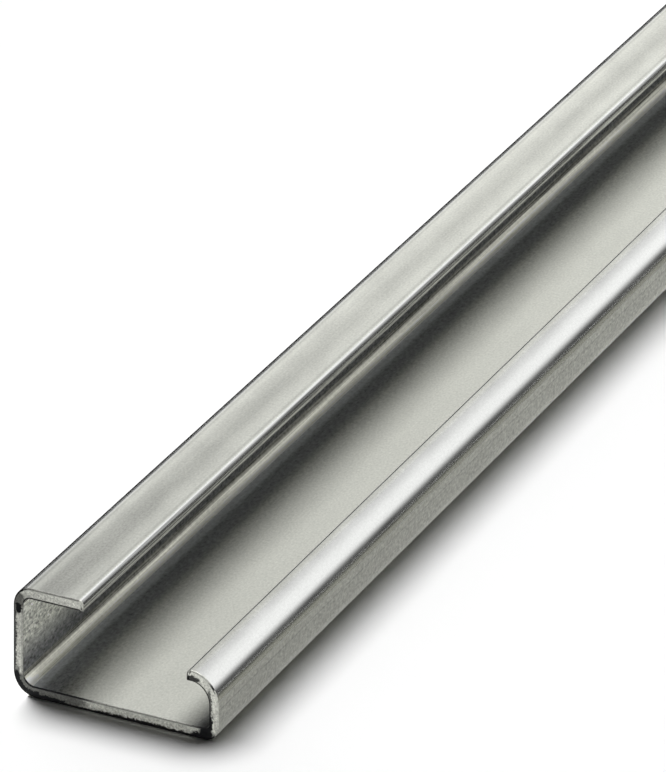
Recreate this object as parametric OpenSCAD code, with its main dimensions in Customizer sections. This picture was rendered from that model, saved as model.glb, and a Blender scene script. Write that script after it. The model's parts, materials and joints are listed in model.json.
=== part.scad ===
// Asymmetric G section mounting rail for terminal blocks, a plain piece of rolled stock without slots.
// It lies on its back: X runs across it with the tall wall at -X, Y along it and Z up, in millimetres.
// The origin is at the middle of the back's underside.

/* [Stock] */
// Length of the piece of stock
rail_l = 1000; // [50:10:2000]
// Thickness of the steel strip that it is rolled from
strip_t = 1.5; // [1:0.1:1.8]

/* [Section] */
// Overall width, over the outer faces of the two walls
rail_w = 32; // [28:0.5:60]
// Overall height of the tall wall, from the back's underside to the top of the long lip
tall_h = 15; // [12:0.5:40]
// Overall height of the low wall, from the back's underside to the top of the short lip
low_h = 9; // [7.5:0.5:12]
// Width of the lip on the tall wall, from the wall's outer face to the slit edge
long_lip_w = 11; // [6:0.5:14]
// Width of the lip on the low wall, from the wall's outer face to the slit edge
short_lip_w = 5; // [4.8:0.1:9]

/* [Bends] */
// Inside radius of the bend between the tall wall and the long lip
long_lip_bend_r = 1.2; // [0.3:0.1:3]
// Inside radius of the bend between the tall wall and the back
tall_bend_r = 1.8; // [0.3:0.1:4]
// Inside radius of the bend between the low wall and the back
low_bend_r = 0.6; // [0.3:0.1:2]
// Inside radius of the bend between the low wall and the short lip
short_lip_bend_r = 2.8; // [0.3:0.1:3]
// Radius on the corners of the two slit edges
slit_edge_r = 0.3; // [0.1:0.05:0.45]

/* [Hidden] */
$fn = 64;

// A flat stretch of strip that starts at the origin and runs along +X, with its outer face down.
module flat_strip(l) {
    square([l, strip_t]);
}

// A quarter turn of the strip, from the origin heading +X round to heading +Y, with its outer face outside.
module bend(inside_r) {
    translate([0, strip_t + inside_r])
        intersection() {
            difference() {
                circle(inside_r + strip_t);
                circle(inside_r);
            }
            translate([0, -inside_r - strip_t])
                square(inside_r + strip_t);
        }
}

// The last flat stretch up to a slit edge, heading +X, with the edge's two corners rounded.
module slit_end(l) {
    square([l - slit_edge_r, strip_t]);
    translate([0, slit_edge_r])
        square([l, strip_t - 2 * slit_edge_r]);
    for (y = [slit_edge_r, strip_t - slit_edge_r])
        translate([l - slit_edge_r, y])
            circle(slit_edge_r);
}

// One half of the section, from a corner of the back up the wall to the slit edge: a wall and its lip.
// It starts where the back's flat ends, heading +X, and turns up and back over itself.
module wall_and_lip(wall_h, lip_w, foot_r, lip_r) {
    foot_out_r = foot_r + strip_t;
    lip_out_r = lip_r + strip_t;
    bend(foot_r);
    translate([foot_out_r, foot_out_r])
        rotate(90) {
            flat_strip(wall_h - foot_out_r - lip_out_r);
            translate([wall_h - foot_out_r - lip_out_r, 0]) {
                bend(lip_r);
                translate([lip_out_r, lip_out_r])
                    rotate(90)
                        slit_end(lip_w - lip_out_r);
            }
        }
}

// The whole section, drawn with X across and Y up.
module section() {
    tall_out_r = tall_bend_r + strip_t;
    low_out_r = low_bend_r + strip_t;
    translate([tall_out_r - rail_w / 2, 0])
        flat_strip(rail_w - tall_out_r - low_out_r);
    translate([rail_w / 2 - low_out_r, 0])
        wall_and_lip(low_h, short_lip_w, low_bend_r, short_lip_bend_r);
    translate([tall_out_r - rail_w / 2, 0])
        mirror([1, 0])
            wall_and_lip(tall_h, long_lip_w, tall_bend_r, long_lip_bend_r);
}

// The rail, rolled in one piece and sawn off square at both ends.
module rail() {
    color("silver")
        rotate([90, 0, 0])
            linear_extrude(rail_l, center = true)
                section();
}

rail();
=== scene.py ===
import json
import math
import bpy
from mathutils import Matrix, Vector

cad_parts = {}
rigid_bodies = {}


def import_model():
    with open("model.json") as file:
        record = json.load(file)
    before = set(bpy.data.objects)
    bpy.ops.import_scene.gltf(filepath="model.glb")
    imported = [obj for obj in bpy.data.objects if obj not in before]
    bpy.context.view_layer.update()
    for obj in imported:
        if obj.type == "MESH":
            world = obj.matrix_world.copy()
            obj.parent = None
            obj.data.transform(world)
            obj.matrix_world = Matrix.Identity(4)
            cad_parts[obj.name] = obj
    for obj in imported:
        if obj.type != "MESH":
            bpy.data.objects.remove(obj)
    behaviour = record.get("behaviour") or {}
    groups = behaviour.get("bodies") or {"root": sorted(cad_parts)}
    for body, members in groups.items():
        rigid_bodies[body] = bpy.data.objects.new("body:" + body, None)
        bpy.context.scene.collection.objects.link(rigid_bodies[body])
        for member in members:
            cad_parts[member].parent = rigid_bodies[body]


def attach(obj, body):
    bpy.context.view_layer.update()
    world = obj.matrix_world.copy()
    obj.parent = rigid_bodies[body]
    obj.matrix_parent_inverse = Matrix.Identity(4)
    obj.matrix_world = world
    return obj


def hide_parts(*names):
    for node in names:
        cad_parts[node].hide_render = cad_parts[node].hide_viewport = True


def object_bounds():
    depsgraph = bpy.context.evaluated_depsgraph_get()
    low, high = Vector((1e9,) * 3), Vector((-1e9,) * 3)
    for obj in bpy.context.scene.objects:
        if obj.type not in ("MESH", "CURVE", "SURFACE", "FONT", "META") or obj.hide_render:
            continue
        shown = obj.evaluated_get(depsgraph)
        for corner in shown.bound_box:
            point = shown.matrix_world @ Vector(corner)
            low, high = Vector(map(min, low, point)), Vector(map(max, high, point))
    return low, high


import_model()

cadLow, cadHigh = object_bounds()
scene = bpy.context.scene
mm = 0.001
near = 0.001 * mm    # places closer together than this count as one


# Small helpers

def toLinear(hexColour):
    # sRGB hex such as "c8c9c0" to the linear colour that the nodes take
    channels = [int(hexColour[i:i + 2], 16) / 255 for i in (0, 2, 4)]
    return tuple(c / 12.92 if c <= 0.04045 else ((c + 0.055) / 1.055) ** 2.4 for c in channels) + (1.0,)


def addNode(tree, kind, links=None, sockets=None, **settings):
    # one node with its settings, its socket values and its links, where a node stands for its first output
    node = tree.nodes.new(kind)
    for key, value in settings.items():
        setattr(node, key, value)
    for socket, value in (sockets or {}).items():
        node.inputs[socket].default_value = value
    for socket, source in (links or {}).items():
        if isinstance(source, bpy.types.Node):
            source = source.outputs[0]
        tree.links.new(source, node.inputs[socket])
    return node


def span(limits):
    # two limits as the socket values of the range that is read
    return {"From Min": limits[0], "From Max": limits[1]}


def deselectAll():
    if bpy.context.object and bpy.context.object.mode != 'OBJECT':
        bpy.ops.object.mode_set(mode='OBJECT')
    bpy.ops.object.select_all(action='DESELECT')


def selectEdges(piece, wanted):
    # picks the edges whose two ends both pass the test, and leaves the piece in edit mode
    bpy.ops.object.mode_set(mode='EDIT')
    bpy.ops.mesh.select_mode(type='EDGE')
    bpy.ops.mesh.select_all(action='DESELECT')
    bpy.ops.object.mode_set(mode='OBJECT')
    for edge in piece.data.edges:
        edge.select = all(wanted(piece.data.vertices[i].co) for i in edge.vertices)
    bpy.ops.object.mode_set(mode='EDIT')


def selectFaces(piece, wanted):
    # picks the faces that pass the test, and leaves the piece in edit mode
    bpy.ops.object.mode_set(mode='EDIT')
    bpy.ops.mesh.select_mode(type='FACE')
    bpy.ops.mesh.select_all(action='DESELECT')
    bpy.ops.object.mode_set(mode='OBJECT')
    for face in piece.data.polygons:
        face.select = wanted(face)
    bpy.ops.object.mode_set(mode='EDIT')


# The rail, one rolled strip. It lies along Y, with the tall wall at -X

rail = {
    "stripThickness": 1.5 * mm,
    "lowHeight": 9.0 * mm,
    "longLip": 11.0 * mm,
    "shortLip": 5.0 * mm,
    "longLipBend": 1.2 * mm,         # inside radii of the four bends
    "tallBend": 1.8 * mm,
    "lowBend": 0.6 * mm,
    "shortLipBend": 2.8 * mm,
    "bendSteps": 16,
    "slitRounding": 0.75 * mm,       # of the slit edges, on their upper side
    "slitUnderRounding": 0.2 * mm,
    "slitSteps": 6,
    "endChamfer": 0.12 * mm,         # left by the saw round both cut ends
    "chamferSteps": 2,
    "endRim": 0.25 * mm,             # width of the dragged metal just inside that chamfer
    "sharpAngle": 20,                # degrees; flatter edges are shaded smooth
}


def rollSide(piece, side, wallHeight, lipWidth, footRadius, lipRadius):
    # bends the back's edge up into a wall and over into a lip, as the rolls do; side is -1 for -X
    footX = side * (cadHigh.x - footRadius)
    lipX = side * (cadHigh.x - lipRadius)
    quarter = {"steps": rail["bendSteps"], "angle": math.radians(90 * side), "axis": (0, 1, 0)}
    wallFlat = (0, 0, wallHeight - footRadius - lipRadius)
    lipFlat = (-side * (lipWidth - lipRadius), 0, 0)
    selectEdges(piece, lambda co: abs(co.x - footX) < near and abs(co.z) < near)
    bpy.ops.mesh.spin(center=(footX, 0, footRadius), **quarter)
    bpy.ops.mesh.extrude_region_move(TRANSFORM_OT_translate={"value": wallFlat})
    bpy.ops.mesh.spin(center=(lipX, 0, wallHeight - lipRadius), **quarter)
    bpy.ops.mesh.extrude_region_move(TRANSFORM_OT_translate={"value": lipFlat})
    bpy.ops.object.mode_set(mode='OBJECT')


def rollStrip():
    # the outer skin: the back as a flat strip, then the low wall and the tall one
    bends = ("longLipBend", "tallBend", "lowBend", "shortLipBend")
    outer = {name: rail[name] + rail["stripThickness"] for name in bends}
    backFrom = cadLow.x + outer["tallBend"]
    backTo = cadHigh.x - outer["lowBend"]
    deselectAll()
    bpy.ops.mesh.primitive_plane_add(size=1, location=((backFrom + backTo) / 2, 0, 0))
    piece = bpy.context.object
    piece.name = "rolledRail"
    piece.scale = (backTo - backFrom, cadHigh.y - cadLow.y, 1)
    bpy.ops.object.transform_apply(location=True, rotation=True, scale=True)
    rollSide(piece, 1, rail["lowHeight"], rail["shortLip"], outer["lowBend"], outer["shortLipBend"])
    rollSide(piece, -1, cadHigh.z, rail["longLip"], outer["tallBend"], outer["longLipBend"])
    bpy.ops.object.mode_set(mode='EDIT')
    bpy.ops.mesh.select_all(action='SELECT')
    bpy.ops.mesh.remove_doubles(threshold=near)
    bpy.ops.mesh.normals_make_consistent(inside=False)
    bpy.ops.object.mode_set(mode='OBJECT')
    back = next(face for face in piece.data.polygons if abs(face.center.z) < near)
    if back.normal.z > 0:
        bpy.ops.object.mode_set(mode='EDIT')
        bpy.ops.mesh.flip_normals()
        bpy.ops.object.mode_set(mode='OBJECT')
    return piece


def thickenStrip(piece):
    # inwards, so that the skin stays where it is
    strip = piece.modifiers.new("strip", 'SOLIDIFY')
    strip.thickness = rail["stripThickness"]
    strip.offset = -1
    strip.use_even_offset = True
    bpy.ops.object.modifier_apply(modifier="strip")


def roundSlits(piece):
    slits = ((cadLow.x + rail["longLip"], cadHigh.z), (cadHigh.x - rail["shortLip"], rail["lowHeight"]))
    for rounding, below in (("slitRounding", 0), ("slitUnderRounding", rail["stripThickness"])):
        for tip, top in slits:
            selectEdges(piece, lambda co: abs(co.x - tip) < near and abs(co.z - top + below) < near)
            bpy.ops.mesh.bevel(offset=rail[rounding], segments=rail["slitSteps"])
            bpy.ops.object.mode_set(mode='OBJECT')


def dressEnds(piece):
    # the saw's chamfer round each cut, and the rim inside it
    for end in (cadLow.y, cadHigh.y):
        selectFaces(piece, lambda face: abs(face.center.y - end) < near)
        bpy.ops.mesh.region_to_loop()
        bpy.ops.mesh.bevel(offset=rail["endChamfer"], segments=rail["chamferSteps"])
        selectFaces(piece, lambda face: abs(face.center.y - end) < near)
        bpy.ops.mesh.inset(thickness=rail["endRim"])
        bpy.ops.object.mode_set(mode='OBJECT')


def shadeRail(piece):
    # flats stay flat and bends smooth, and the cut ends take the second material
    bpy.ops.object.shade_smooth_by_angle(angle=math.radians(rail["sharpAngle"]))
    flats = piece.modifiers.new("flats", 'WEIGHTED_NORMAL')
    flats.keep_sharp = True
    bpy.ops.object.modifier_apply(modifier="flats")
    for face in piece.data.polygons:
        if abs(face.center.y) > cadHigh.y - rail["endChamfer"]:
            face.material_index = 1


def markRail(piece):
    # leaves on the mesh what the materials can't tell from place alone
    inside = piece.data.attributes.new("inside", 'FLOAT', 'FACE').data
    slit = piece.data.attributes.new("slit", 'FLOAT', 'FACE').data
    rim = piece.data.attributes.new("rim", 'FLOAT', 'POINT').data
    tips = (cadLow.x + rail["longLip"], cadHigh.x - rail["shortLip"])
    reach = rail["slitRounding"] + near
    middle = Vector((0, 0, cadHigh.z / 2))
    for face in piece.data.polygons:
        place = Vector((face.center.x, 0, face.center.z))
        onSlit = place.z > rail["lowHeight"] / 2 and min(abs(place.x - tip) for tip in tips) < reach
        onCut = abs(face.center.y) > cadHigh.y - near
        slit[face.index].value = onSlit
        inside[face.index].value = not onSlit and face.normal.dot(place - middle) < 0
        if not onCut:
            for index in face.vertices:
                rim[index].value = 1


railPiece = rollStrip()
thickenStrip(railPiece)
roundSlits(railPiece)
dressEnds(railPiece)
shadeRail(railPiece)
markRail(railPiece)
print("rail rolled:", len(railPiece.data.polygons), "faces")


# Materials

firstColour, secondColour, mixedColour = 6, 7, 2    # sockets of a Mix node that mixes colours
noiseMean = 0.5

zinc = {
    "flatColour": "c8c9c1",
    "bendColour": "dcdddb",
    "pressedColour": "dcdbcd",           # bends on the inner side, rubbed by the rolls' edges
    "recessShadeColour": "a0a2a4",            # painted shade in the recesses under both lips
    "flatMetallic": 0.3,
    "bendMetallic": 1.0,
    "flatRoughness": 0.42,
    "bendRoughness": 0.17,
    "insideRoughness": 0.3,              # added on the inner side
    "cloudRoughness": 0.15,              # how much the clouds change it
    "insidePolish": 0.85,                # how far the inner bends are like the outer ones
    "bendCalm": 0.3,                     # how much of the patterns is left on the bends
    "bumpHeight": 0.003 * mm,

    # where each part of the surface begins and is in full
    "bendSlope": (0.06, 0.27),           # the normal's X times its Z
    "facingFully": (0.9, 0.99),          # the normal's X or Z
    "slitUpright": (0.36, 0.6),          # the normal's X
    "burnishedAbove": (2 * mm, 3 * mm),  # the foot of the low wall stays matte
    "leftRecess": (-7.5 * mm, -10 * mm),
    "rightRecess": (11 * mm, 14.5 * mm),
    "mottled": (-3 * mm, -10 * mm),      # the back is blotched on its left
    "mouthLightRise": (4 * mm, 7.5 * mm),     # the tall wall's inner side is painted lighter above this, near both ends
    "cornerShadeAcross": (12.2 * mm, 13.9 * mm),

    # and the same by the distance from the nearer cut end
    "mouthLightReach": (30 * mm, 16 * mm),
    "endFalloffReach": (100 * mm, 0),
    "lipEndReach": (28 * mm, 0),
    "webCornerReach": (16 * mm, 0),
    "glintReach": (4 * mm, 0),
    "cornerShadeReach": (5 * mm, 1 * mm),
    "middleLightReach": (100 * mm, 190 * mm),

    # patterns in the colour: the part they lie on, size across, size along the rail, strength; the real
    # crystals and roll scratches are hundredths of a millimetre wide, so they are drawn as coarse as shows
    "patterns": {
        "grain": ("everywhere", 0.3 * mm, 0.5 * mm, 0.65),
        "clouds": ("everywhere", 3 * mm, 9 * mm, 0.24),
        "streaks": ("outside", 0.5 * mm, 60 * mm, 0.16),
        "speckle": ("speckled", 0.4 * mm, 0.7 * mm, 1.3),
        "ribs": ("ribbed", 0.2 * mm, 30 * mm, 6.0),
        "mottle": ("mottled", 0.5 * mm, 0.9 * mm, 1.3),
    },
    "patternDetail": 3.0,
    "patternRoughness": 0.6,

    # lengthwise marks by the part they lie on: what they are placed by, which is a place across, a height or
    # the normal's X, then the middle, half the width, and how much lighter
    "marks": {
        "outside": {                     # lighter and darker lengthwise bands, some of them painted light and shade
            "lipEdge": ("across", -13.85 * mm, 0.5 * mm, 0.25),
            "lipByBend": ("across", -13.35 * mm, 0.35 * mm, -0.1),
            "lipRidge": ("across", -12.9 * mm, 0.8 * mm, 0.09),
            "lipMiddle": ("across", -9.8 * mm, 2.6 * mm, -0.19),
            "lipBeforeSlit": ("across", -6.1 * mm, 0.45 * mm, -0.2),
            # painted highlight, widening the slit edge's own
            "lipBySlitHighlight": ("across", -5.6 * mm, 0.4 * mm, 0.1),
            # painted shade, where the short lip's edge would reflect the back
            "shortLipEdgeShade": ("across", 11.15 * mm, 0.6 * mm, -0.92),
            "shortLip": ("across", 12.5 * mm, 2.2 * mm, -0.22),
            "wallLine": ("height", 4.35 * mm, 0.14 * mm, -0.25),
            "wallMiddle": ("height", 3.9 * mm, 2.2 * mm, -0.06),
            # painted light at the low wall's foot, in place of light from the floor
            "wallFootLight": ("height", 0.9 * mm, 1.5 * mm, 1.0),
        },
        "endFalloff": {                     # painted falloff of the light on the outer flats towards both ends
            "lipMiddle": ("across", -9.2 * mm, 3.8 * mm, -0.24),
            "lipByRidge": ("across", -11.7 * mm, 1.8 * mm, -0.14),
        },
        "lipEnd": {                      # painted darker still, nearer to them
            "byRidge": ("across", -11.7 * mm, 1.9 * mm, -0.2),
            "byBend": ("across", -13.5 * mm, 1.1 * mm, -0.3),
        },
        "slitFace": {                    # on the slits' upright faces: painted shade at the bottom and the top, a painted highlight line, and a darker line
            "underEdgeShade": ("height", 13.6 * mm, 0.18 * mm, -0.6),
            "lowerEdgeHighlight": ("height", 13.9 * mm, 0.18 * mm, 0.9),
            "burnish": ("height", 14.15 * mm, 0.12 * mm, -0.2),
            "shoulderShade": ("height", 14.78 * mm, 0.22 * mm, -0.5),
        },
        "inside": {                      # round the inner bends: a painted highlight that widens their reflection, painted shade at its edges, and two dark lines
            "contactHighlight": ("slope", 0.5, 0.4, 0.4),
            "creaseShade": ("slope", 0.92, 0.13, -0.5),
            "upperLine": ("slope", 0.3, 0.06, -0.3),
            "lowerLine": ("slope", 0.1, 0.06, -0.3),
            "bendHighlight": ("across", -12.7 * mm, 1.8 * mm, 0.7),
            "tangentHighlight": ("across", -12.85 * mm, 0.5 * mm, 0.75),
            "backHighlight": ("across", -12.1 * mm, 1.0 * mm, 0.65),
            "wallByFilletShade": ("across", -14.5 * mm, 0.3 * mm, -0.2),
        },
        "webEnd": {                      # on the back inside, darker towards both ends
            "darkerTowardsEnds": ("across", -4.5 * mm, 6.0 * mm, -0.08),
        },
        "webCorner": {                   # and in its last few millimetres: painted shade under the long lip and by the low wall
            "underLipShade": ("across", -8.2 * mm, 3.4 * mm, -0.5),
            "byLowWallShade": ("across", 12.0 * mm, 5.0 * mm, -0.32),
        },
    },

    # how light each part is, against the plain flats
    "shades": {
        "inside": 0.88,
        # painted light on the tall wall's inner side near both ends
        "mouthLight": 2.35,
        "slitFace": 0.62,                # painted shade, which also ends the slit edge's highlight early
        "webEnd": 0.93,
        "glint": 1.8,                    # painted highlight on the inner bends at the cuts
        # painted falloff of the light towards both ends
        "endFalloff": 0.82,
        "middleLight": 1.09,                   # painted light: all but the recesses lighter away from both ends
        "cornerShade": 0.06,                    # painted shade in the inner corner by the low wall, at the cuts
    },
}


def findParts(tree, place, facing):
    # masks of the surface's parts, 1 on the part and 0 elsewhere
    inside = addNode(tree, "ShaderNodeAttribute", attribute_name="inside").outputs["Fac"]
    slit = addNode(tree, "ShaderNodeAttribute", attribute_name="slit").outputs["Fac"]
    outside = addNode(tree, "ShaderNodeMath", {1: inside}, {0: 1.0}, operation='SUBTRACT')
    fromMiddle = addNode(tree, "ShaderNodeMath", {0: place.outputs["Y"]}, operation='ABSOLUTE')
    fromEnd = addNode(tree, "ShaderNodeMath", {1: fromMiddle}, {0: cadHigh.y}, operation='SUBTRACT')
    toRight = addNode(tree, "ShaderNodeMapRange", {"Value": facing.outputs["X"]}, span(zinc["facingFully"]))

    # the bends, by their slope
    slope = addNode(tree, "ShaderNodeMath", {0: facing.outputs["X"], 1: facing.outputs["Z"]},
                    operation='MULTIPLY')
    steepness = addNode(tree, "ShaderNodeMath", {0: slope}, operation='ABSOLUTE')
    bent = addNode(tree, "ShaderNodeMapRange", {"Value": steepness}, span(zinc["bendSlope"]),
                   interpolation_type='SMOOTHSTEP')
    raised = addNode(tree, "ShaderNodeMapRange", {"Value": place.outputs["Z"], "To Min": inside},
                     span(zinc["burnishedAbove"]))
    burnished = addNode(tree, "ShaderNodeMath", {0: bent, 1: raised}, operation='MULTIPLY')
    polish = addNode(tree, "ShaderNodeMapRange", {"Value": inside},
                     {"To Min": 1.0, "To Max": zinc["insidePolish"]})
    bend = addNode(tree, "ShaderNodeMath", {0: burnished, 1: polish}, operation='MULTIPLY')
    flat = addNode(tree, "ShaderNodeMath", {1: bend}, {0: 1.0}, operation='SUBTRACT')
    innerBend = addNode(tree, "ShaderNodeMath", {0: bend, 1: inside}, operation='MULTIPLY')

    # painted shade in the recesses, but not on the tall wall's inner side near either end, where light is
    # painted instead
    leftRecess, rightRecess = (
        addNode(tree, "ShaderNodeMapRange", {"Value": place.outputs["X"]}, span(zinc[side]),
                interpolation_type='SMOOTHSTEP') for side in ("leftRecess", "rightRecess"))
    recess = addNode(tree, "ShaderNodeMath", {0: leftRecess, 1: rightRecess}, operation='MAXIMUM')
    mouthLightDeep = addNode(tree, "ShaderNodeMapRange", {"Value": fromEnd}, span(zinc["mouthLightReach"]),
                        interpolation_type='SMOOTHSTEP')
    mouthLightHigh = addNode(tree, "ShaderNodeMapRange", {"Value": place.outputs["Z"], "To Max": mouthLightDeep},
                        span(zinc["mouthLightRise"]))
    mouthLightWall = addNode(tree, "ShaderNodeMath", {0: mouthLightHigh, 1: toRight}, operation='MULTIPLY')
    mouthLight = addNode(tree, "ShaderNodeMath", {0: mouthLightWall, 1: inside}, operation='MULTIPLY')
    flatRecess = addNode(tree, "ShaderNodeMath", {0: recess, 1: bend}, operation='SUBTRACT')
    shadedRecess = addNode(tree, "ShaderNodeMath", {0: flatRecess, 1: mouthLight}, operation='SUBTRACT',
                         use_clamp=True)
    recessShade = addNode(tree, "ShaderNodeMath", {0: shadedRecess, 1: inside}, operation='MULTIPLY')

    # towards both ends: painted falloff of the light, painted shade in the web's corners and a painted glint
    # on the inner bends
    byEnd = addNode(tree, "ShaderNodeMapRange", {"Value": fromEnd}, span(zinc["endFalloffReach"]))
    endFalloffSide = addNode(tree, "ShaderNodeMath", {0: byEnd, 1: outside}, operation='MULTIPLY')
    endFalloff = addNode(tree, "ShaderNodeMath", {0: endFalloffSide, 1: flat}, operation='MULTIPLY')
    upward = addNode(tree, "ShaderNodeMapRange", {"Value": facing.outputs["Z"], "To Max": byEnd},
                     span(zinc["facingFully"]))
    webEnd = addNode(tree, "ShaderNodeMath", {0: upward, 1: inside}, operation='MULTIPLY')
    webCorner = addNode(tree, "ShaderNodeMapRange", {"Value": fromEnd, "To Max": webEnd},
                        span(zinc["webCornerReach"]))
    lipEnd = addNode(tree, "ShaderNodeMapRange", {"Value": fromEnd, "To Max": outside},
                     span(zinc["lipEndReach"]))
    atCut = addNode(tree, "ShaderNodeMapRange", {"Value": fromEnd}, span(zinc["glintReach"]))
    glint = addNode(tree, "ShaderNodeMath", {0: innerBend, 1: atCut}, operation='MULTIPLY')
    cornerShadeDeep = addNode(tree, "ShaderNodeMapRange", {"Value": fromEnd, "To Max": inside},
                       span(zinc["cornerShadeReach"]))
    cornerShade = addNode(tree, "ShaderNodeMapRange", {"Value": place.outputs["X"], "To Max": cornerShadeDeep},
                   span(zinc["cornerShadeAcross"]))
    outsideRecessShade = addNode(tree, "ShaderNodeMath", {1: recessShade}, {0: 1.0}, operation='SUBTRACT')
    middleLight = addNode(tree, "ShaderNodeMapRange", {"Value": fromEnd, "To Max": outsideRecessShade},
                    span(zinc["middleLightReach"]))

    # the upright faces of the slit edges, and where each pattern lies
    leaning = addNode(tree, "ShaderNodeMath", {0: facing.outputs["X"]}, operation='ABSOLUTE')
    upright = addNode(tree, "ShaderNodeMapRange", {"Value": leaning}, span(zinc["slitUpright"]))
    slitFace = addNode(tree, "ShaderNodeMath", {0: upright, 1: slit}, operation='MULTIPLY')
    ribbed = addNode(tree, "ShaderNodeMath", {0: innerBend, 1: slitFace}, operation='MAXIMUM')
    mottled = addNode(tree, "ShaderNodeMapRange", {"Value": place.outputs["X"], "To Max": inside},
                      span(zinc["mottled"]), interpolation_type='SMOOTHSTEP')
    speckled = addNode(tree, "ShaderNodeMath", {0: toRight, 1: outside}, operation='MULTIPLY')
    for part in (mouthLight, innerBend, recessShade):
        speckled = addNode(tree, "ShaderNodeMath", {0: speckled, 1: part}, operation='MAXIMUM')

    return {"inside": inside, "outside": outside, "bend": bend, "innerBend": innerBend, "mouthLight": mouthLight,
            "recessShade": recessShade, "endFalloff": endFalloff, "webEnd": webEnd, "webCorner": webCorner, "lipEnd": lipEnd,
            "glint": glint, "cornerShade": cornerShade, "middleLight": middleLight, "slitFace": slitFace, "ribbed": ribbed,
            "mottled": mottled, "speckled": speckled}


def addPatterns(tree, where, parts, calm, shade):
    # adds each pattern's noise to the shade, and gives the noises too
    noises = {}
    for name, (part, across, along, strength) in zinc["patterns"].items():
        spread = addNode(tree, "ShaderNodeMapping", {"Vector": where.outputs["Object"]},
                         {"Scale": (1 / across, 1 / along, 1 / across)})
        noise = addNode(tree, "ShaderNodeTexNoise", {"Vector": spread},
                        {"Scale": 1.0, "Detail": zinc["patternDetail"],
                         "Roughness": zinc["patternRoughness"]})
        noises[name] = addNode(tree, "ShaderNodeMath", {0: noise}, {1: noiseMean}, operation='SUBTRACT')
        amount = addNode(tree, "ShaderNodeMath", {0: noises[name]}, {1: strength}, operation='MULTIPLY')
        if part in parts:
            amount = addNode(tree, "ShaderNodeMath", {0: amount, 1: parts[part]}, operation='MULTIPLY')
        shade = addNode(tree, "ShaderNodeMath", {0: amount, 1: calm, 2: shade}, operation='MULTIPLY_ADD')
    return shade, noises


def addMarks(tree, placedBy, parts, shade):
    # adds each lengthwise mark to the shade
    for part, marks in zinc["marks"].items():
        for axis, middle, halfWidth, amount in marks.values():
            offset = addNode(tree, "ShaderNodeMath", {0: placedBy[axis]}, {1: middle}, operation='SUBTRACT')
            apart = addNode(tree, "ShaderNodeMath", {0: offset}, operation='ABSOLUTE')
            mark = addNode(tree, "ShaderNodeMapRange", {"Value": apart},
                           {"From Max": halfWidth, "To Min": amount, "To Max": 0.0},
                           interpolation_type='SMOOTHSTEP')
            shade = addNode(tree, "ShaderNodeMath", {0: mark, 1: parts[part], 2: shade},
                            operation='MULTIPLY_ADD')
    return shade


def zincPlatedSteel():
    # zinc electroplated on cold-rolled strip: matte grey flats with a fine grain and lengthwise roll marks,
    # and bends that the forming rolls have burnished; shade in the recesses and corners, the light's falloff
    # along the rail, and some light and highlights are painted into the colour
    material = bpy.data.materials.new("zincPlatedSteel")
    material.use_nodes = True
    tree = material.node_tree
    shader = tree.nodes["Principled BSDF"]
    where = addNode(tree, "ShaderNodeTexCoord")
    place = addNode(tree, "ShaderNodeSeparateXYZ", {0: where.outputs["Object"]})
    facing = addNode(tree, "ShaderNodeSeparateXYZ", {0: where.outputs["Normal"]})
    parts = findParts(tree, place, facing)
    bend = parts["bend"]

    # how light it is: patterns and marks add up, and each part's own shade multiplies them
    calm = addNode(tree, "ShaderNodeMapRange", {"Value": bend}, {"To Min": 1.0, "To Max": zinc["bendCalm"]})
    plain = addNode(tree, "ShaderNodeValue")
    plain.outputs[0].default_value = 1
    patterned, noises = addPatterns(tree, where, parts, calm, plain)
    placedBy = {"across": place.outputs["X"], "height": place.outputs["Z"], "slope": facing.outputs["X"]}
    shade = addMarks(tree, placedBy, parts, patterned)
    for part, amount in zinc["shades"].items():
        factor = addNode(tree, "ShaderNodeMapRange", {"Value": parts[part]},
                         {"To Min": 1.0, "To Max": amount})
        shade = addNode(tree, "ShaderNodeMath", {0: shade, 1: factor}, operation='MULTIPLY')

    colour = addNode(tree, "ShaderNodeMix", {0: bend},
                     {firstColour: toLinear(zinc["flatColour"]), secondColour: toLinear(zinc["bendColour"])},
                     data_type='RGBA')
    for part, name in (("innerBend", "pressedColour"), ("recessShade", "recessShadeColour")):
        colour = addNode(tree, "ShaderNodeMix",
                         {0: parts[part], firstColour: colour.outputs[mixedColour]},
                         {secondColour: toLinear(zinc[name])}, data_type='RGBA')
    toned = addNode(tree, "ShaderNodeVectorMath", {0: colour.outputs[mixedColour], "Scale": shade},
                    operation='SCALE')

    metallic = addNode(tree, "ShaderNodeMapRange", {"Value": bend},
                       {"To Min": zinc["flatMetallic"], "To Max": zinc["bendMetallic"]})
    smooth = addNode(tree, "ShaderNodeMapRange", {"Value": bend},
                     {"To Min": zinc["flatRoughness"], "To Max": zinc["bendRoughness"]})
    rougher = addNode(tree, "ShaderNodeMath", {0: parts["inside"], 2: smooth},
                      {1: zinc["insideRoughness"]}, operation='MULTIPLY_ADD')
    roughness = addNode(tree, "ShaderNodeMath", {0: noises["clouds"], 2: rougher},
                        {1: zinc["cloudRoughness"]}, operation='MULTIPLY_ADD')
    relief = addNode(tree, "ShaderNodeMath", {0: noises["grain"], 1: noises["streaks"]}, operation='ADD')
    bump = addNode(tree, "ShaderNodeBump", {"Height": relief, "Strength": calm},
                   {"Distance": zinc["bumpHeight"]})
    tree.links.new(toned.outputs[0], shader.inputs["Base Color"])
    tree.links.new(metallic.outputs[0], shader.inputs["Metallic"])
    tree.links.new(roughness.outputs[0], shader.inputs["Roughness"])
    tree.links.new(bump.outputs[0], shader.inputs["Normal"])
    return material


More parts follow.
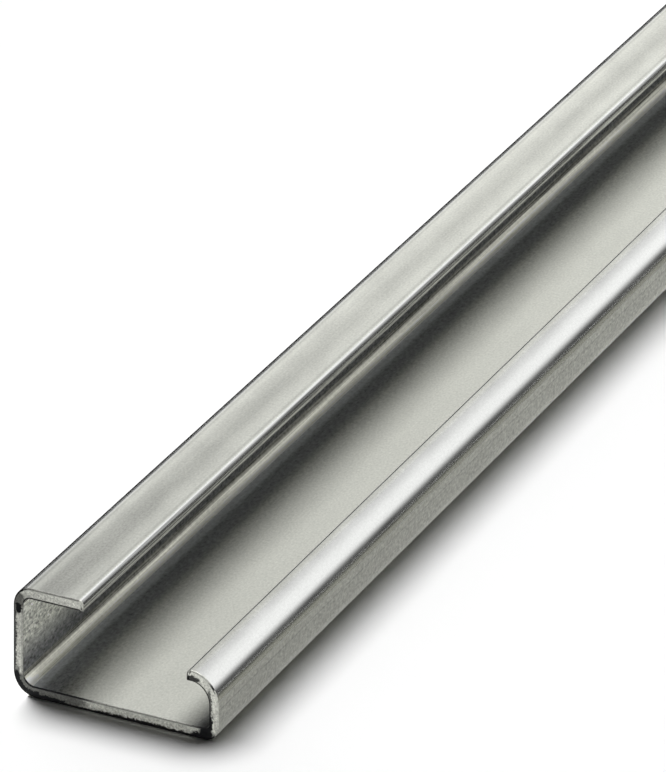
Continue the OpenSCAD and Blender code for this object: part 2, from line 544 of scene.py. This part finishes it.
sawn = {
    "colour": "dcddd4",
    "stainColour": "101113",
    "metallic": 0.75,
    "roughness": 0.5,
    "tear": 0.3 * mm,                # grain size, drawn coarser than the teeth's real marks so that it shows
    "tearDetail": 3.0,
    "tearRoughness": 0.65,
    "tearRange": (0.3, 0.7),         # of the noise
    "tearTones": (0.5, 1.15),        # darkest and lightest
    "bumpHeight": 0.05 * mm,
    "waver": 1.0 * mm,               # how far the stains' edges wander
    "rimWaver": 0.9,
    "rimEdge": (0.25, 0.8),          # where the burr round the rim begins and is black
    "spotEdge": (1.15, 0.75),        # the same for a spot, as a share of its half size
    "spotDepth": 10 * mm,            # so only the photographed end has spots

    # oily stains and smeared burr: place across and up, half width and half height, darkness
    "stains": {
        "tallCorner": (-15.4 * mm, 13.0 * mm, 1.1 * mm, 1.3 * mm, 0.75),
        "tallSpot": (-15.2 * mm, 11.95 * mm, 0.5 * mm, 0.85 * mm, 1.0),
        "tallOuterEdge": (-16.0 * mm, 8.0 * mm, 0.55 * mm, 6.0 * mm, 0.85),
        "bendFace": (-14.2 * mm, 1.5 * mm, 1.8 * mm, 1.7 * mm, 0.8),
        "backUnder": (-10.5 * mm, -0.05 * mm, 4.5 * mm, 0.85 * mm, 1.0),
        "backFace": (-9.3 * mm, 0.8 * mm, 5.0 * mm, 1.2 * mm, 0.78),
        "backEdge": (3.0 * mm, -0.05 * mm, 14.0 * mm, 0.5 * mm, 1.0),
        "cornerBlack": (14.0 * mm, 0.8 * mm, 1.2 * mm, 1.0 * mm, 1.0),
        "cornerPoint": (12.9 * mm, 0.2 * mm, 1.4 * mm, 0.6 * mm, 1.0),
        "cornerUp": (14.6 * mm, 2.3 * mm, 0.55 * mm, 1.3 * mm, 1.0),
        "wallInnerEdge": (14.5 * mm, 4.8 * mm, 0.4 * mm, 2.2 * mm, 0.8),
        "shortLipTip": (11.8 * mm, 7.85 * mm, 1.4 * mm, 0.45 * mm, 0.95),
    },

    # where the rim is clean of burr, in the same order, and how clean
    "cleanRims": {
        "tallInner": (-14.5 * mm, 7.5 * mm, 0.5 * mm, 5.2 * mm, 0.6),
        "backTop": (4.0 * mm, 1.4 * mm, 8.5 * mm, 0.4 * mm, 0.4),
        "lowOuter": (16.0 * mm, 4.0 * mm, 0.8 * mm, 5.0 * mm, 0.9),
        "longLipTip": (-5.2 * mm, 14.3 * mm, 0.7 * mm, 0.9 * mm, 0.7),
        "shortLipTop": (13.6 * mm, 8.7 * mm, 2.6 * mm, 1.3 * mm, 0.6),
        "longLipTop": (-9.8 * mm, 15.0 * mm, 5.2 * mm, 0.5 * mm, 0.35),
    },

    # a black arc of burr, dragged round the tall wall's foot
    "arcCentre": (-12.7 * mm, 0, 3.3 * mm),
    "arcRadius": 3.3 * mm,
    "arcWidth": (1.15 * mm, 0.8 * mm),    # in from its radius, where it begins and is black
    "arcAcross": (-11 * mm, -12 * mm),    # it ends to the right and above
    "arcUp": (4.2 * mm, 3.0 * mm),
    "arcAlong": 1000,                     # so long that both ends have it
}


def addSpots(tree, where, spots):
    # the strongest of several soft-edged ellipses on the cut
    strongest = addNode(tree, "ShaderNodeValue")
    strongest.outputs[0].default_value = 0
    for across, up, halfWidth, halfHeight, strength in spots.values():
        around = addNode(tree, "ShaderNodeMapping", {"Vector": where},
                         {"Location": (across, cadLow.y, up),
                          "Scale": (halfWidth, sawn["spotDepth"], halfHeight)}, vector_type='TEXTURE')
        apart = addNode(tree, "ShaderNodeVectorMath", {0: around}, operation='LENGTH')
        spot = addNode(tree, "ShaderNodeMapRange", {"Value": apart.outputs["Value"]},
                       {**span(sawn["spotEdge"]), "To Max": strength}, interpolation_type='SMOOTHSTEP')
        strongest = addNode(tree, "ShaderNodeMath", {0: strongest, 1: spot}, operation='MAXIMUM')
    return strongest


def addArc(tree, where):
    radius = sawn["arcRadius"]
    around = addNode(tree, "ShaderNodeMapping", {"Vector": where},
                     {"Location": sawn["arcCentre"], "Scale": (radius, sawn["arcAlong"], radius)},
                     vector_type='TEXTURE')
    apart = addNode(tree, "ShaderNodeVectorMath", {0: around}, operation='LENGTH')
    arc = addNode(tree, "ShaderNodeMapRange", {"Value": apart.outputs["Value"]},
                  span([1 - width / radius for width in sawn["arcWidth"]]), interpolation_type='SMOOTHSTEP')
    place = addNode(tree, "ShaderNodeSeparateXYZ", {0: where})
    for axis, limits in (("X", "arcAcross"), ("Z", "arcUp")):
        within = addNode(tree, "ShaderNodeMapRange", {"Value": place.outputs[axis]}, span(sawn[limits]))
        arc = addNode(tree, "ShaderNodeMath", {0: arc, 1: within}, operation='MULTIPLY')
    return arc


def sawnSteel():
    # bare steel where the rail was sawn off: a light torn face, dark in its burr and in a few oily stains
    material = bpy.data.materials.new("sawnSteel")
    material.use_nodes = True
    tree = material.node_tree
    shader = tree.nodes["Principled BSDF"]
    where = addNode(tree, "ShaderNodeTexCoord")
    rim = addNode(tree, "ShaderNodeAttribute", attribute_name="rim")
    spread = addNode(tree, "ShaderNodeMapping", {"Vector": where.outputs["Object"]},
                     {"Scale": (1 / sawn["tear"],) * 3})
    tear = addNode(tree, "ShaderNodeTexNoise", {"Vector": spread},
                   {"Scale": 1.0, "Detail": sawn["tearDetail"], "Roughness": sawn["tearRoughness"]})

    # places that wander with the tears, so that no stain has a clean edge
    centred = addNode(tree, "ShaderNodeVectorMath", {0: tear.outputs["Color"]}, {1: (noiseMean,) * 3},
                      operation='SUBTRACT')
    wander = addNode(tree, "ShaderNodeVectorMath", {0: centred}, {"Scale": sawn["waver"]}, operation='SCALE')
    wavered = addNode(tree, "ShaderNodeVectorMath", {0: where.outputs["Object"], 1: wander}, operation='ADD')

    # burr round the rim, stains and arc, whichever is darkest
    uneven = addNode(tree, "ShaderNodeMath", {0: tear}, {1: noiseMean}, operation='SUBTRACT')
    ragged = addNode(tree, "ShaderNodeMath", {0: uneven, 2: rim.outputs["Fac"]}, {1: sawn["rimWaver"]},
                     operation='MULTIPLY_ADD')
    burr = addNode(tree, "ShaderNodeMapRange", {"Value": ragged}, span(sawn["rimEdge"]),
                   interpolation_type='SMOOTHSTEP')
    cleanRim = addSpots(tree, wavered, sawn["cleanRims"])
    burred = addNode(tree, "ShaderNodeMath", {1: cleanRim}, {0: 1.0}, operation='SUBTRACT')
    dark = addNode(tree, "ShaderNodeMath", {0: burr, 1: burred}, operation='MULTIPLY')
    for other in (addSpots(tree, wavered, sawn["stains"]), addArc(tree, wavered)):
        dark = addNode(tree, "ShaderNodeMath", {0: dark, 1: other}, operation='MAXIMUM')

    darkest, lightest = sawn["tearTones"]
    tone = addNode(tree, "ShaderNodeMapRange", {"Value": tear},
                   {**span(sawn["tearRange"]), "To Min": darkest, "To Max": lightest})
    bare = addNode(tree, "ShaderNodeVectorMath", {"Scale": tone}, {0: toLinear(sawn["colour"])[:3]},
                   operation='SCALE')
    colour = addNode(tree, "ShaderNodeMix", {0: dark, firstColour: bare},
                     {secondColour: toLinear(sawn["stainColour"])}, data_type='RGBA')
    bump = addNode(tree, "ShaderNodeBump", {"Height": tear},
                   {"Strength": 1.0, "Distance": sawn["bumpHeight"]})
    tree.links.new(colour.outputs[mixedColour], shader.inputs["Base Color"])
    tree.links.new(bump.outputs[0], shader.inputs["Normal"])
    shader.inputs["Metallic"].default_value = sawn["metallic"]
    shader.inputs["Roughness"].default_value = sawn["roughness"]
    return material


railPiece.data.materials.append(zincPlatedSteel())
railPiece.data.materials.append(sawnSteel())
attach(railPiece, "root")
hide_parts("rail")
print("materials made:", ", ".join(material.name for material in railPiece.data.materials))


# Studio

studio = {
    "floorSize": 6.0,
    "floorColour": "f8f8f8",
    "floorDrop": 0.05 * mm,          # keeps it clear of the rail's underside

    # strength in W/m2, where pi is a plain level, the sun's width in degrees, and where it stands: degrees
    # from straight overhead, to the right and to the back, and then round
    "suns": {
        "railKey": (2.95, 40, (-3, 20, 0)),
        "endKey": (0.7, 5, (0, -90, 0)),          # level, on the cut end
        "mouthKey": (0.5, 25, (0, -90, 60)),      # level, on the low wall and under the long lip
        "floorKey": (3.1, 32, (-15.5, 21, 0)),
        "floorFill": (1.0, 70, (-40, 38, 0)),     # softens the far edge of the shadow
    },

    # a flag inside the rail, which only blocks the light on the floor; its near right corner is cut off
    "flagHeight": 12 * mm,
    "flagInset": 2.2 * mm,
    "flagCorner": 4.5 * mm,

    # cards beside the rail, seen only in the metal: from, to, brightness
    "cards": {
        "leftCard": (-420 * mm, -20 * mm, 0.0),
        "rightCard": (20 * mm, 55 * mm, 0.31),
        "farCard": (55 * mm, 420 * mm, 0.1),
    },
    "cardColour": "ffffef",

    # the room as the metal sees it, dim below and bright above; pairs are for the left and the right
    "roomColour": "ffffff",
    "dimGlow": 0.09,
    "brightGlow": (0.83, 1.2),
    "horizon": (0.18, 0.235),        # the middle of the change, as the direction's Z
    "blur": (0.04, 0.13),            # and how softly it changes
    "glowTurn": (-0.4, 0.2),         # where left turns into right, as the direction's X
    "horizonTurn": (-0.2, 0.2),
}


def makeFloor():
    deselectAll()
    bpy.ops.mesh.primitive_plane_add(size=studio["floorSize"], location=(0, 0, -studio["floorDrop"]))
    floor = bpy.context.object
    floor.name = "studioFloor"
    material = bpy.data.materials.new("paperFloor")
    material.use_nodes = True
    tree = material.node_tree
    tree.nodes.clear()
    paper = addNode(tree, "ShaderNodeBsdfDiffuse", sockets={"Color": toLinear(studio["floorColour"])})
    addNode(tree, "ShaderNodeOutputMaterial", {"Surface": paper})
    floor.data.materials.append(material)
    return floor


def makeFlag():
    left = cadLow.x + studio["flagInset"]
    deselectAll()
    bpy.ops.mesh.primitive_cube_add(size=1, location=((left + cadHigh.x) / 2, 0, studio["flagHeight"] / 2))
    flag = bpy.context.object
    flag.name = "floorFlag"
    flag.scale = (cadHigh.x - left, cadHigh.y - cadLow.y, studio["flagHeight"])
    bpy.ops.object.transform_apply(location=True, rotation=True, scale=True)
    selectEdges(flag, lambda co: co.x > cadHigh.x - mm and co.y < cadLow.y + mm)
    bpy.ops.mesh.bevel(offset=studio["flagCorner"], segments=1)
    bpy.ops.object.mode_set(mode='OBJECT')
    flag.visible_camera = False
    flag.visible_diffuse = False
    flag.visible_glossy = False
    return flag


def makeCards():
    for name, (start, end, brightness) in studio["cards"].items():
        deselectAll()
        bpy.ops.mesh.primitive_plane_add(size=1, location=((start + end) / 2, 0, 0))
        card = bpy.context.object
        card.name = name
        card.scale = (end - start, studio["floorSize"], 1)
        card.visible_camera = False
        card.visible_diffuse = False
        card.visible_shadow = False
        material = bpy.data.materials.new(name)
        material.use_nodes = True
        tree = material.node_tree
        tree.nodes.clear()
        glow = addNode(tree, "ShaderNodeEmission",
                       sockets={"Color": toLinear(studio["cardColour"]), "Strength": brightness})
        addNode(tree, "ShaderNodeOutputMaterial", {"Surface": glow})
        card.data.materials.append(material)


def addSun(name, receiver, blocker):
    # a soft sun that lights only its receiver, where only its blocker throws a shadow
    strength, angle, (toRight, toBack, turned) = studio["suns"][name]
    sun = bpy.data.objects.new(name, bpy.data.lights.new(name, 'SUN'))
    sun.data.energy = strength
    sun.data.angle = math.radians(angle)
    sun.rotation_euler = (math.radians(-toBack), math.radians(toRight), math.radians(turned))
    scene.collection.objects.link(sun)
    lit = bpy.data.collections.new(name + "Lit")
    lit.objects.link(receiver)
    sun.light_linking.receiver_collection = lit
    held = bpy.data.collections.new(name + "Held")
    held.objects.link(blocker)
    sun.light_linking.blocker_collection = held
    return sun


def makeWorld():
    # white behind the scene, and a soft room in the metal; the rest of the light comes from the suns alone
    world = bpy.data.worlds.new("studioWorld")
    scene.world = world
    world.use_nodes = True
    world.cycles.sampling_method = 'NONE'    # so that each kind of ray meets its own part of this world
    tree = world.node_tree
    tree.nodes.clear()
    paths = addNode(tree, "ShaderNodeLightPath")
    where = addNode(tree, "ShaderNodeTexCoord")
    direction = addNode(tree, "ShaderNodeSeparateXYZ", {0: where.outputs["Generated"]})
    sides = {}
    for name, turn in (("brightGlow", "glowTurn"), ("horizon", "horizonTurn"), ("blur", "horizonTurn")):
        left, right = studio[name]
        sides[name] = addNode(tree, "ShaderNodeMapRange", {"Value": direction.outputs["X"]},
                              {**span(studio[turn]), "To Min": left, "To Max": right})
    above = addNode(tree, "ShaderNodeMath", {0: direction.outputs["Z"], 1: sides["horizon"]},
                    operation='SUBTRACT')
    height = addNode(tree, "ShaderNodeMath", {0: above, 1: sides["blur"]}, operation='DIVIDE')
    glow = addNode(tree, "ShaderNodeMapRange", {"Value": height, "To Max": sides["brightGlow"]},
                   {"From Min": -1.0, "From Max": 1.0, "To Min": studio["dimGlow"]},
                   interpolation_type='SMOOTHSTEP')
    white = {"Color": toLinear(studio["roomColour"])}
    room = addNode(tree, "ShaderNodeBackground", {"Strength": glow}, white)
    behind = addNode(tree, "ShaderNodeBackground", {"Strength": paths.outputs["Is Camera Ray"]}, white)
    seen = addNode(tree, "ShaderNodeMixShader", {0: paths.outputs["Is Glossy Ray"], 1: behind, 2: room})
    addNode(tree, "ShaderNodeOutputWorld", {"Surface": seen})


studioFloor = makeFloor()
addSun("railKey", railPiece, railPiece)
addSun("endKey", railPiece, railPiece)
mouthKey = addSun("mouthKey", railPiece, railPiece)
mouthKey.data.cycles.max_bounces = 0    # so that the rail throws none of it on to the floor
floorFlag = makeFlag()
addSun("floorKey", studioFloor, floorFlag)
addSun("floorFill", studioFloor, floorFlag)
makeCards()
makeWorld()
print("studio lit:", ", ".join(studio["suns"]))


# Camera

view = {
    "azimuth": 25.94,
    "elevation": 24.32,          # of the line of sight through the middle of the frame
    "distance": 1046 * mm,       # level distance from the lens to the near left foot of the rail
    "focalPixels": 7519,         # of the level lens axis
    "footPixel": (13.5, 692.4),  # where that foot falls in the frame
    "frame": (666, 772),
    "filmSize": 36,              # millimetres, along the frame's longer side
    "clip": (0.01, 50),          # metres
}


def makeCamera():
    # a view camera: the line of sight looks down on the rail and the film stays upright, so heights keep
    # their full size
    width, height = view["frame"]
    turn = math.radians(view["azimuth"])
    drop = math.radians(view["elevation"])
    right = Vector((math.cos(turn), math.sin(turn), 0))
    ahead = Vector((-math.sin(turn), math.cos(turn), 0))
    upright = Vector((0, 0, 1))
    back = math.sin(drop) * upright - math.cos(drop) * ahead
    perPixel = view["distance"] / view["focalPixels"]
    across = (view["footPixel"][0] - width / 2) * perPixel
    below = (view["footPixel"][1] - height / 2) * perPixel + math.tan(drop) * view["distance"]
    foot = Vector((cadLow.x, cadLow.y, 0))
    place = foot - across * right + below * upright - view["distance"] * ahead
    stand = bpy.data.objects.new("cameraStand", None)
    camera = bpy.data.objects.new("photoCamera", bpy.data.cameras.new("photoCamera"))
    scene.collection.objects.link(stand)
    scene.collection.objects.link(camera)
    camera.parent = stand
    camera.matrix_parent_inverse = Matrix((right, upright, back)).transposed().to_4x4()
    camera.matrix_parent_inverse.translation = place
    camera.data.sensor_width = view["filmSize"]
    camera.data.lens = view["focalPixels"] / math.cos(drop) * view["filmSize"] / height
    camera.data.clip_start, camera.data.clip_end = view["clip"]
    scene.camera = camera


makeCamera()
scene.view_settings.view_transform = 'Standard'
print("camera set:", round(scene.camera.data.lens), "mm lens")
